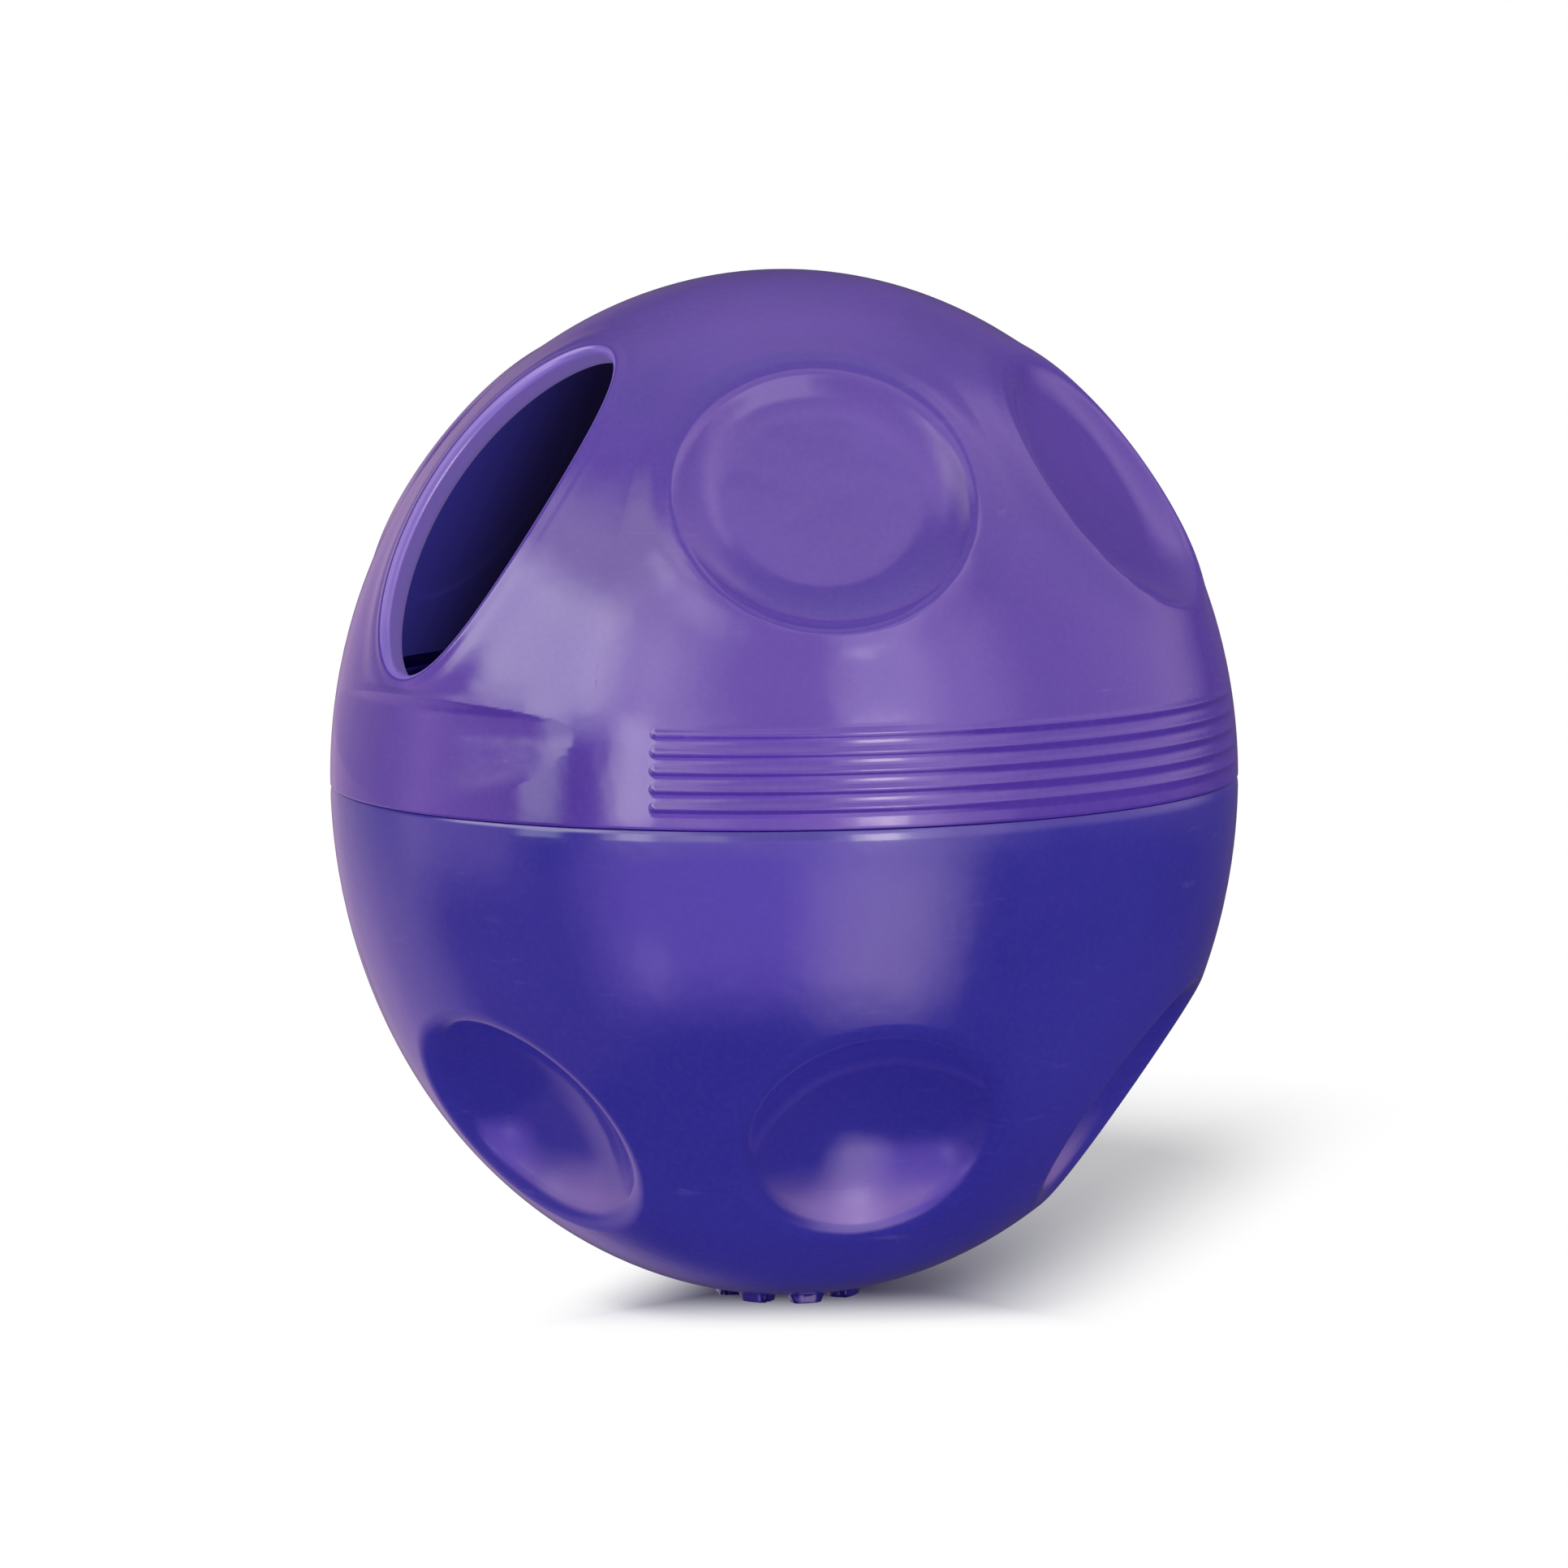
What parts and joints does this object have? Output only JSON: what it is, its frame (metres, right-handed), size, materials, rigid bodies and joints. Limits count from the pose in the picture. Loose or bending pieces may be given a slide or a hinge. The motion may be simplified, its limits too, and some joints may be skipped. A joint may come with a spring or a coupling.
{
  "type": "treat dispensing ball",
  "caption": "Egg-shaped hollow plastic pet ball: dimpled halves twist together at a ribbed grip band, with an oval treat opening in the upper half and foot pads under the lower half.",
  "frame": {"origin": "centre of the closed ball, halfway between its crown and its foot pads; the parting plane is 0.675 mm above it", "axes": "+Z along the ball's axis, up through the half with the treat opening; the opening faces -Y"},
  "size_m": [0.0622, 0.062, 0.0704],
  "materials": {
    "upper_plastic": "gloss, slightly translucent moulded purple",
    "lower_plastic": "gloss, slightly translucent moulded blue-violet"
  },
  "bodies": {
    "base": {"lower_shell": "lower_plastic"},
    "top": {"upper_shell": "upper_plastic"}
  },
  "joints": [
    {"name": "twist_lock", "type": "hinge", "parent": "base", "child": "top", "pos_m": [0, 0, 0], "axis": [0, 0, 1], "range_deg": [0, 45]}
  ]
}
